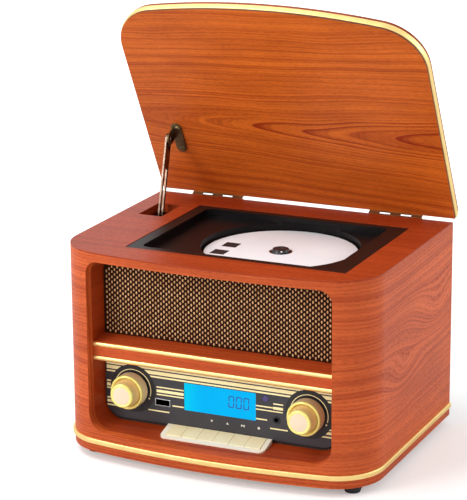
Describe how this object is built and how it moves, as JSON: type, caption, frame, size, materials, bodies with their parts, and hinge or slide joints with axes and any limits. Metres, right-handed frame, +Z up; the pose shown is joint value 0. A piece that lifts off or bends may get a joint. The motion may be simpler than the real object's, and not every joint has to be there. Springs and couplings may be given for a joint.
{
  "type": "stereo music centre",
  "caption": "Table-top wooden stereo music centre with a lifting lid over a disc well, a cloth speaker grille, a lit display, turning knobs and a row of keys.",
  "frame": {"origin": "on the ground under the middle of the box that bounds the object with its lid open", "axes": "+Z up, -Y to the front with the controls, +X to the right as seen from the front"},
  "size_m": [0.2572, 0.208, 0.3427],
  "materials": {
    "front_wood": "lacquered",
    "recess_wood": "lacquered",
    "deck_wood": "lacquered",
    "lid_wood": "lacquered",
    "lid_wood_dark": "lacquered",
    "plain_board": "bare",
    "back_board": "painted dark",
    "polished_brass": "polished",
    "hinge_brass": "satin",
    "antique_brass": "antique",
    "screw_steel": "zinc plated",
    "plated_steel": "plated",
    "chassis_steel": "satin",
    "core_grey": "varnished",
    "black_rubber": "matt",
    "grille_cloth": "woven",
    "panel_black": "matt",
    "socket_black": "matt",
    "well_black": "gloss",
    "part_grey": "matt",
    "gear_white": "matt",
    "board_green": "matt",
    "cone_paper": "pressed paper",
    "knob_gold": "metallic lacquer",
    "frame_gold": "metallic lacquer",
    "cap_cream": "gloss",
    "key_cream": "gloss",
    "display_blue": "lit from behind",
    "smoked_window": "gloss",
    "disc_face": "printed"
  },
  "bodies": {
    "cabinet": {"cabinet_shell": "front_wood", "recess_liner": "recess_wood", "top_deck": "deck_wood", "bottom_board": "plain_board", "base_trim": "polished_brass", "back_panel": "back_board", "case_screws": "screw_steel", "feet": "black_rubber", "speaker_baffle": "plain_board", "grille_cloth": "grille_cloth", "cross_rail": "front_wood", "rail_trims": "polished_brass", "control_panel": "panel_black", "encoders": "part_grey", "lcd_window": "display_blue", "lcd_module": "board_green", "ir_window": "smoked_window", "usb_socket": "plated_steel", "phones_jack": "socket_black", "key_bezel": "frame_gold", "key_pivot_pin": "plated_steel", "key_board": "board_green", "cd_well": "well_black", "spindle_motor": "plated_steel", "guide_rods": "plated_steel", "mech_chassis": "chassis_steel", "sled_motor": "plated_steel", "mech_grommets": "black_rubber", "hinge_deck_leaves": "hinge_brass", "hinge_pins": "plated_steel", "deck_hinge_screws": "hinge_brass", "stay_stud": "plated_steel", "speaker_frames": "chassis_steel", "speaker_cones": "cone_paper", "main_board": "board_green", "transformer": "core_grey", "cord_bush": "socket_black"},
    "lid": {"lid_under_board": "lid_wood", "lid_trim": "polished_brass", "lid_top_board": "lid_wood_dark", "hinge_lid_leaves": "hinge_brass", "lid_screws": "hinge_brass", "lid_bracket": "antique_brass", "stay_rivet": "antique_brass"},
    "stay": {"stay_arm": "antique_brass"},
    "volume": {"volume_knob": "knob_gold"},
    "tuning": {"tuning_knob": "knob_gold"},
    "standby": {"standby_cap": "cap_cream"},
    "sleep": {"sleep_cap": "cap_cream"},
    "turntable": {"disc": "disc_face", "disc_hub": "socket_black"},
    "sled": {"laser_sled": "part_grey"},
    "pinion": {"sled_gear": "gear_white"},
    "key_1_lever": {"key_1": "key_cream"},
    "key_2_lever": {"key_2": "key_cream"},
    "key_3_lever": {"key_3": "key_cream"},
    "key_4_lever": {"key_4": "key_cream"},
    "key_5_lever": {"key_5": "key_cream"},
    "key_6_lever": {"key_6": "key_cream"}
  },
  "joints": [
    {"name": "lid_hinge", "type": "hinge", "parent": "cabinet", "child": "lid", "pos_m": [0, 0.09378, 0.1632], "axis": [1, 0, 0], "range_deg": [0, 62]},
    {"name": "stay_swing", "type": "hinge", "parent": "lid", "child": "stay", "pos_m": [-0.1045, 0.05946, 0.2188], "axis": [1, 0, 0], "range_deg": [-31, 0]},
    {"name": "volume_turn", "type": "hinge", "parent": "cabinet", "child": "volume", "pos_m": [-0.0732, -0.07662, 0.0535], "axis": [0, 1, 0], "continuous": true},
    {"name": "tuning_turn", "type": "hinge", "parent": "cabinet", "child": "tuning", "pos_m": [0.0732, -0.07662, 0.0535], "axis": [0, 1, 0], "continuous": true},
    {"name": "standby_press", "type": "slide", "parent": "volume", "child": "standby", "axis": [0, 1, 0], "range_m": [0, 0.0012], "stiffness_N_per_m": 1200, "springref_m": -0.0003},
    {"name": "sleep_press", "type": "slide", "parent": "tuning", "child": "sleep", "axis": [0, 1, 0], "range_m": [0, 0.0012], "stiffness_N_per_m": 1200, "springref_m": -0.0003},
    {"name": "key_1_press", "type": "hinge", "parent": "cabinet", "child": "key_1_lever", "pos_m": [-0.03275, -0.07382, 0.02725], "axis": [1, 0, 0], "range_deg": [0, 4], "stiffness_Nm_per_rad": 0.25, "springref_deg": -1.72},
    {"name": "key_2_press", "type": "hinge", "parent": "cabinet", "child": "key_2_lever", "pos_m": [-0.01965, -0.07382, 0.02725], "axis": [1, 0, 0], "range_deg": [0, 4], "stiffness_Nm_per_rad": 0.25, "springref_deg": -1.72},
    {"name": "key_3_press", "type": "hinge", "parent": "cabinet", "child": "key_3_lever", "pos_m": [-0.00655, -0.07382, 0.02725], "axis": [1, 0, 0], "range_deg": [0, 4], "stiffness_Nm_per_rad": 0.25, "springref_deg": -1.72},
    {"name": "key_4_press", "type": "hinge", "parent": "cabinet", "child": "key_4_lever", "pos_m": [0.00655, -0.07382, 0.02725], "axis": [1, 0, 0], "range_deg": [0, 4], "stiffness_Nm_per_rad": 0.25, "springref_deg": -1.72},
    {"name": "key_5_press", "type": "hinge", "parent": "cabinet", "child": "key_5_lever", "pos_m": [0.01965, -0.07382, 0.02725], "axis": [1, 0, 0], "range_deg": [0, 4], "stiffness_Nm_per_rad": 0.25, "springref_deg": -1.72},
    {"name": "key_6_press", "type": "hinge", "parent": "cabinet", "child": "key_6_lever", "pos_m": [0.03275, -0.07382, 0.02725], "axis": [1, 0, 0], "range_deg": [0, 4], "stiffness_Nm_per_rad": 0.25, "springref_deg": -1.72},
    {"name": "disc_spin", "type": "hinge", "parent": "cabinet", "child": "turntable", "pos_m": [0.0202, -0.00162, 0.1535], "axis": [0, 0, 1], "continuous": true},
    {"name": "sled_travel", "type": "slide", "parent": "cabinet", "child": "sled", "axis": [-1, 0, 0], "range_m": [0, 0.034]},
    {"name": "pinion_turn", "type": "hinge", "parent": "cabinet", "child": "pinion", "pos_m": [-0.0178, 0.02903, 0.1445], "axis": [0, 0, 1], "range_deg": [-244, 0]}
  ],
  "couplings": [
    {"joint": "stay_swing", "follows": "lid_hinge", "ratio": -0.5},
    {"joint": "pinion_turn", "follows": "sled_travel", "rad_per_m": -125}
  ]
}
